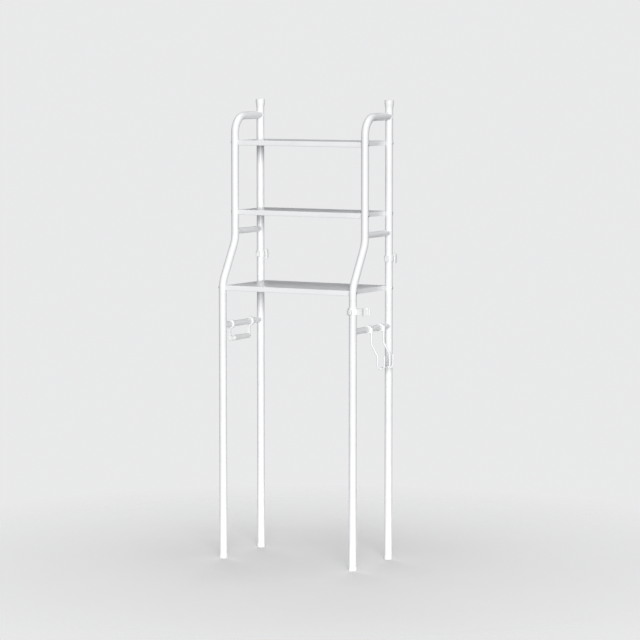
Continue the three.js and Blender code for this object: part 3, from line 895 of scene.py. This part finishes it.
def make_slipper_clip(node):
    origin = Vector((POST_X["right"], middle(node).y, RAIL_Z))
    lug_at = origin + RIGHT * HANGER_OUT
    lug = revolve(
        "solid",
        rounded(
            [(0, LUG_LOW), (LUG_R, LUG_LOW), (LUG_R, LUG_HIGH), (0, LUG_HIGH)],
            [0, LUG_EDGE_LOW, LUG_EDGE_HIGH, 0],
        ),
        lug_at, UP,
    )
    socket = rod(WIRE_R + FIT / 2, LUG_LOW - MM, LUG_LOW + WIRE_SOCKET, lug_at, UP)
    solids, cuts = rail_clip(origin, -OUTWARD["right"], [lug], [socket])
    stand_for(moulded(f"{node}_fine", solids, cuts), node)


def domed_rod(name, stations, radius):
    """A solid rod along the stations, with a dome on each end."""
    dome = [(math.sin(a), math.cos(a)) for a in (math.radians(d) for d in DOME_ANGLES)]
    first, heading = stations[0]
    last, leaving = stations[-1]
    sized = [(first - heading * radius * c, heading, radius * s) for s, c in dome]
    sized += [(point, along, radius) for point, along in stations]
    sized += [(last + leaving * radius * c, leaving, radius * s) for s, c in reversed(dome)]
    return loft(name, swept(sized, axes(heading)[0], WIRE_SEGMENTS))


def make_slipper_wire():
    """The U-shaped wire, stepped outwards below the rail, and its two upturned hooks."""
    ends = [middle("slipper_clip_front").y, middle("slipper_clip_rear").y]
    near = POST_X["right"] + HANGER_OUT
    far = near + WIRE_STEP
    top = LUG_LOW + WIRE_SOCKET - FIT - WIRE_R

    def arm(y):
        heights = ((near, top), (near, WIRE_KNEE), (far, WIRE_ELBOW), (far, WIRE_FOOT))
        return [(x, y, RAIL_Z + z) for x, z in heights]

    bends = [WIRE_BEND_R, WIRE_BEND_R, WIRE_CORNER_R]
    line = bent([*arm(ends[0]), *arm(ends[1])[::-1]], bends + bends[::-1], WIRE_BEND_STEP)
    parts = [domed_rod("wire", line, WIRE_R)]
    for y in (ends[0] + HOOK_INSET, ends[1] - HOOK_INSET):
        foot = RAIL_Z + WIRE_FOOT
        corners = [
            (far + HOOK_ROOT, y, foot),
            (far + HOOK_OUT, y, foot),
            (far + HOOK_OUT, y, foot + HOOK_UP - WIRE_R),
        ]
        parts.append(domed_rod("hook", bent(corners, [HOOK_BEND_R], WIRE_BEND_STEP), WIRE_R))
        bead = [(r * MM, d * MM) for r, d in HOOK_WELD_PROFILE]
        weld_at = Vector((far + HOOK_WELD_OUT, y, foot))
        parts.append(revolve("weld", bead, weld_at, RIGHT, HOOK_WELD_SEGMENTS))
    stand_for(merged("slipper_wire_fine", parts), "slipper_wire")


make_slipper_clip("slipper_clip_front")
make_slipper_clip("slipper_clip_rear")
make_slipper_wire()

# ---------------------------------------------------------------- clips on the posts

BULGE_OUT = 20 * MM
BULGE_ROOT = 9 * MM
BULGE_TIP = 6 * MM
BULGE_SLOPE = 6 * MM            # the boss's top falls away over this last stretch
BULGE_BEVEL = 1.5 * MM          # the bevel at the foot of its end
MOP_REACH = 49.5 * MM
MOP_POLE_R = 10.5 * MM
MOP_JAW_R = 13.7 * MM
MOP_MOUTH = 5 * MM
MOP_ARM_HALF = 6 * MM
MOP_RING_R = 15.2 * MM
MOP_WEB_INSET = 2 * MM
MOP_EAR_INSET = 4 * MM
MOP_SPLIT = 1.2 * MM
EAR_W = 5 * MM
EAR_REACH = 23 * MM
EAR_CORNER_R = 1.5 * MM
SCREW_Y = 19 * MM
SCREW_HOLE_R = 1.8 * MM
LIP_BEAD_R = 2.2 * MM           # rolled lips of the jaw's mouth


def post_bulge(origin, along, half):
    """A tapered boss on a post clip, with a sloping top; along is the way it sticks out."""
    across = UP.cross(along)
    side_view = [
        (0, half), (BULGE_OUT - BULGE_SLOPE, half), (BULGE_OUT, half - BULGE_SLOPE),
        (BULGE_OUT, -half + BULGE_BEVEL), (BULGE_OUT - BULGE_BEVEL, -half), (0, -half),
    ]
    rings = []
    for sign in (-1, 1):
        ring = []
        for reach, height in side_view:
            width = BULGE_ROOT + (BULGE_TIP - BULGE_ROOT) * reach / BULGE_OUT
            ring.append(origin + along * reach + UP * height + across * width * sign)
        rings.append(ring)
    return loft("solid", rings)


def make_mop_clip():
    low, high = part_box("mop_clip_jaw")
    origin = Vector((POST_X["right"], LEG_Y, (low.z + high.z) / 2))
    half = (high.z - low.z) / 2
    web = half - MOP_WEB_INSET
    ear_half = half - MOP_EAR_INSET
    pole = origin + RIGHT * MOP_REACH
    lips_y = math.sqrt(MOP_POLE_R**2 - MOP_MOUTH**2) + LIP_BEAD_R / 2
    reach = 3 * MOP_REACH       # well past every side of the clip
    ears = rounded(
        box_outline(-EAR_W, EAR_W, -EAR_REACH, EAR_REACH), [EAR_CORNER_R] * 4, True
    )

    for node, near, far in (
        ("mop_clip_jaw", MOP_SPLIT / 2, reach),
        ("mop_clip_back", -reach, -MOP_SPLIT / 2),
    ):
        solids = [
            rod(MOP_RING_R, -half, half, origin, UP),
            prism(ears, -ear_half, ear_half, origin, RIGHT, BACK, UP),
        ]
        cuts = [rod(POST_R + FIT / 2, -2 * half, 2 * half, origin, UP)]
        if node == "mop_clip_jaw":
            arm = box_outline(0, MOP_REACH - MOP_POLE_R, -MOP_ARM_HALF, MOP_ARM_HALF)
            solids.append(prism(arm, -web, web, origin, RIGHT, BACK, UP))
            solids.append(rod(MOP_JAW_R, -half, half, pole, UP))
            mouth = box_outline(MOP_MOUTH, 2 * MOP_JAW_R, -MOP_JAW_R, MOP_JAW_R)
            cuts.append(rod(MOP_POLE_R, -2 * half, 2 * half, pole, UP))
            cuts.append(prism(mouth, -2 * half, 2 * half, pole, RIGHT, BACK, UP))
        else:
            solids.append(post_bulge(origin, -RIGHT, half))
        for y in (-SCREW_Y, SCREW_Y):
            hole_at = origin + BACK * y
            cuts.append(rod(SCREW_HOLE_R, -2 * EAR_W, 2 * EAR_W, hole_at, RIGHT, SMALL_SEGMENTS))
        keep = prism(box_outline(near, far, -reach, reach), -reach, reach, origin, RIGHT, BACK, UP)
        body = moulded(f"{node}_fine", solids, cuts, keep)
        if node == "mop_clip_jaw":
            mouth_at = pole + RIGHT * MOP_MOUTH
            lips = [
                rod(LIP_BEAD_R, -half + MM, half - MM, mouth_at + BACK * y, UP, SMALL_SEGMENTS)
                for y in (-lips_y - MM, lips_y + MM)
            ]
            body = merged(f"{node}_fine", [body, *lips])
        stand_for(body, node)


def cross_slot(radius, arm):
    """Radius of a cross recess, as a function of the angle: long along its arms, short between."""
    quarter = math.pi / 2

    def reach(angle):
        off = abs((angle + quarter / 2) % quarter - quarter / 2)
        along = arm / math.sin(off) if off > math.asin(arm / radius) else radius
        return min(radius, along)

    return reach


SCREW_R = 1.55 * MM
SCREW_TIP_L = 0.8 * MM          # the bevelled tip, and how far it is drawn in
SCREW_TIP_IN = 0.5 * MM
SCREW_HEAD_R = 3 * MM
SCREW_HEAD_H = 2 * MM
SCREW_HEAD_EDGE = 0.2 * MM      # the head's lower edge and its crown
SCREW_HEAD_ROUND = 1.1 * MM
SCREW_CROWN_R = 1.7 * MM
RECESS_R = 1.5 * MM             # the cross recess: its reach and half the width of an arm
RECESS_HALF_W = 0.42 * MM
RECESS_LIP = 0.1 * MM           # depths below the top of the head
RECESS_DEEP = 1.1 * MM
RECESS_POINT = 1.4 * MM
SCREW_SEGMENTS = 64


def make_mop_screw(node):
    """A pan-head screw with a cross recess, through both ears of the mop clip."""
    low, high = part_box(node)
    centre = middle(node)
    origin = Vector((low.x, centre.y, centre.z))
    length = high.x - low.x
    under = length - SCREW_HEAD_H
    slot = cross_slot(RECESS_R, RECESS_HALF_W)
    pan = rounded(
        [(SCREW_R, under), (SCREW_HEAD_R, under), (SCREW_HEAD_R, length), (SCREW_CROWN_R, length)],
        [0, SCREW_HEAD_EDGE, SCREW_HEAD_ROUND, 0],
    )
    profile = [(0, 0), (SCREW_R - SCREW_TIP_IN, 0), (SCREW_R, SCREW_TIP_L), *pan]
    profile += [
        (slot, length - RECESS_LIP), (slot, length - RECESS_DEEP), (0, length - RECESS_POINT),
    ]
    stand_for(revolve(f"{node}_fine", profile, origin, RIGHT, SCREW_SEGMENTS), node)


make_mop_clip()
make_mop_screw("mop_clip_screw_front")
make_mop_screw("mop_clip_screw_rear")

COLLAR_R = 15.6 * MM
TONGUE_HALF_W = 6 * MM
TONGUE_HALF_H = 5.5 * MM
BLOCK_CORNER_R = 4 * MM
GROOVES = 3                     # level grooves on the wall block's sides and front
GROOVE_PITCH = 8 * MM
GROOVE_W = 2.6 * MM
GROOVE_DEEP = 1.5 * MM
PAD_EDGE_NEAR = 0.4 * MM        # the foam pad's edges, at the block and at the wall
PAD_EDGE_FAR = 0.8 * MM


def make_wall_anchor(side):
    """A collar with a boss to the front, a grooved block behind it and a round foam pad."""
    low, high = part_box(f"{side}_wall_collar")
    origin = Vector((POST_X[side], REAR_Y, (low.z + high.z) / 2))
    half = (high.z - low.z) / 2
    barrel = rounded(
        [(0, -half), (COLLAR_R, -half), (COLLAR_R, half), (0, half)], [0, RING_EDGE, RING_EDGE, 0]
    )
    tongue = prism(
        box_outline(-TONGUE_HALF_W, TONGUE_HALF_W, -TONGUE_HALF_H, TONGUE_HALF_H),
        0, high.y - origin.y, origin, RIGHT, UP, BACK,
    )
    solids = [revolve("solid", barrel, origin, UP), post_bulge(origin, -BACK, half), tongue]
    cuts = [rod(POST_R + FIT / 2, -2 * half, 2 * half, origin, UP)]
    stand_for(moulded(f"{side}_wall_collar_fine", solids, cuts), f"{side}_wall_collar")

    low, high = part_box(f"{side}_wall_block")
    half_w, half_h = (high.x - low.x) / 2, (high.z - low.z) / 2
    near, far = low.y - origin.y, high.y - origin.y
    outline = rounded(
        box_outline(-half_w, half_w, -half_h, half_h), [BLOCK_CORNER_R] * 4, True
    )
    block = prism(outline, near, far, origin, RIGHT, UP, BACK)
    grooves = []
    for i in range(GROOVES):
        level = (i - (GROOVES - 1) / 2) * GROOVE_PITCH
        band = box_outline(-2 * half_w, 2 * half_w, level - GROOVE_W / 2, level + GROOVE_W / 2)
        core = box_outline(GROOVE_DEEP - half_w, half_w - GROOVE_DEEP, -half_h, half_h)
        groove = prism(band, 0, 2 * far, origin, RIGHT, UP, BACK)
        kept = prism(core, near + GROOVE_DEEP, 3 * far, origin, RIGHT, UP, BACK)
        boolean(groove, kept, "DIFFERENCE")
        grooves.append(groove)
    stand_for(moulded(f"{side}_wall_block_fine", [block], grooves), f"{side}_wall_block")

    low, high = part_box(f"{side}_wall_pad")
    near, far = low.y - origin.y, high.y - origin.y
    radius = (high.x - low.x) / 2
    disc = rounded(
        [(0, near), (radius, near), (radius, far), (0, far)],
        [0, PAD_EDGE_NEAR, PAD_EDGE_FAR, 0],
    )
    stand_for(revolve(f"{side}_wall_pad_fine", disc, origin, BACK), f"{side}_wall_pad")


for side in ("left", "right"):
    make_wall_anchor(side)

# ---------------------------------------------------------------- floor, light and camera

FLOOR_R = 1.7
FLOOR_SIDES = 64
FLOOR_FADE_FROM = 0.4           # the floor fades out between these two radii
FLOOR_FADE_TO = 0.98 * FLOOR_R
FLOOR_WHITE = 0.93
FLOOR_PATCH_WHITE = 0.985 * FLOOR_WHITE
ROOM_LIGHT = (0.115, 0.117, 0.123)      # soft light from all round
BACKDROP = (0.815, 0.818, 0.826)


def make_floor():
    rim = [(x, y, 0) for x, y in circle(FLOOR_R, FLOOR_SIDES)]
    floor = mesh_object("studio_floor", rim, [tuple(range(FLOOR_SIDES))])
    graph = Graph("studio_floor_paint")
    patches = graph.noise(3, detail=3)
    whites = [(NOISE_LOW, (FLOOR_PATCH_WHITE,) * 3), (NOISE_HIGH, (FLOOR_WHITE,) * 3)]
    graph.colour(patches, whites)
    graph.rough(graph.noise(20), 0.8, 0.9)
    graph.bumps((graph.noise(400), 0.05 * MM))
    graph.set(Specular_IOR_Level=0.0)
    length = graph.tree.nodes.new("ShaderNodeVectorMath")
    length.operation = "LENGTH"
    graph.link(graph.place, length.inputs[0])
    fade = graph.remap(length.outputs["Value"], FLOOR_FADE_FROM, FLOOR_FADE_TO, 1.0, 0.0)
    graph.link(fade, graph.shader.inputs["Alpha"])
    floor.data.materials.append(graph.material)


def make_room_light():
    """Even light all round, with a plain pale backdrop for the camera."""
    world = bpy.data.worlds.new("studio")
    bpy.context.scene.world = world
    world.use_nodes = True
    nodes, links = world.node_tree.nodes, world.node_tree.links
    light = nodes["Background"]
    light.inputs["Color"].default_value = (*ROOM_LIGHT, 1)
    backdrop = nodes.new("ShaderNodeBackground")
    backdrop.inputs["Color"].default_value = (*BACKDROP, 1)
    ray = nodes.new("ShaderNodeLightPath")
    mix = nodes.new("ShaderNodeMixShader")
    links.new(ray.outputs["Is Camera Ray"], mix.inputs["Fac"])
    links.new(light.outputs["Background"], mix.inputs[1])
    links.new(backdrop.outputs["Background"], mix.inputs[2])
    links.new(mix.outputs["Shader"], nodes["World Output"].inputs["Surface"])


# Name, the way it comes from, strength, spread in degrees, and whether surfaces mirror it.
SOFT_SUNS = (
    ("key_light", (0.54, -0.82, 0.16), 2.95, 24, True),
    ("top_light", (0.10, -0.10, 1.0), 1.05, 60, True),
    ("back_fill", (-0.50, 0.70, 0.42), 1.1, 45, False),
)


def make_soft_sun(name, comes_from, strength, spread, glints):
    """A broad far light. Without glints it lights surfaces but isn't mirrored in them."""
    data = bpy.data.lights.new(name, "SUN")
    data.energy = strength
    data.angle = math.radians(spread)
    lamp = add_object(name, data)
    lamp.rotation_mode = "QUATERNION"
    lamp.rotation_quaternion = Vector(comes_from).to_track_quat("Z", "Y")
    lamp.visible_glossy = glints


CAMERA_AIM = Vector((0.0470, -0.0279, 0.8011))
CAMERA_DISTANCE = 9.5
CAMERA_AZIMUTH = math.radians(29.36)
CAMERA_DROP = math.radians(5.276)
CAMERA_LENS = 162.8
CAMERA_FAR = 1000


def make_camera():
    data = bpy.data.cameras.new("camera")
    data.lens = CAMERA_LENS
    data.clip_end = CAMERA_FAR
    camera = add_object("camera", data)
    level = math.cos(CAMERA_DROP)
    towards = Vector(
        (
            -math.sin(CAMERA_AZIMUTH) * level,
            math.cos(CAMERA_AZIMUTH) * level,
            -math.sin(CAMERA_DROP),
        )
    )
    camera.location = CAMERA_AIM - towards * CAMERA_DISTANCE
    camera.rotation_euler = (math.pi / 2 - CAMERA_DROP, 0, CAMERA_AZIMUTH)
    bpy.context.scene.camera = camera


make_floor()
make_room_light()
for sun in SOFT_SUNS:
    make_soft_sun(*sun)
make_camera()
bpy.context.scene.view_settings.view_transform = "Standard"
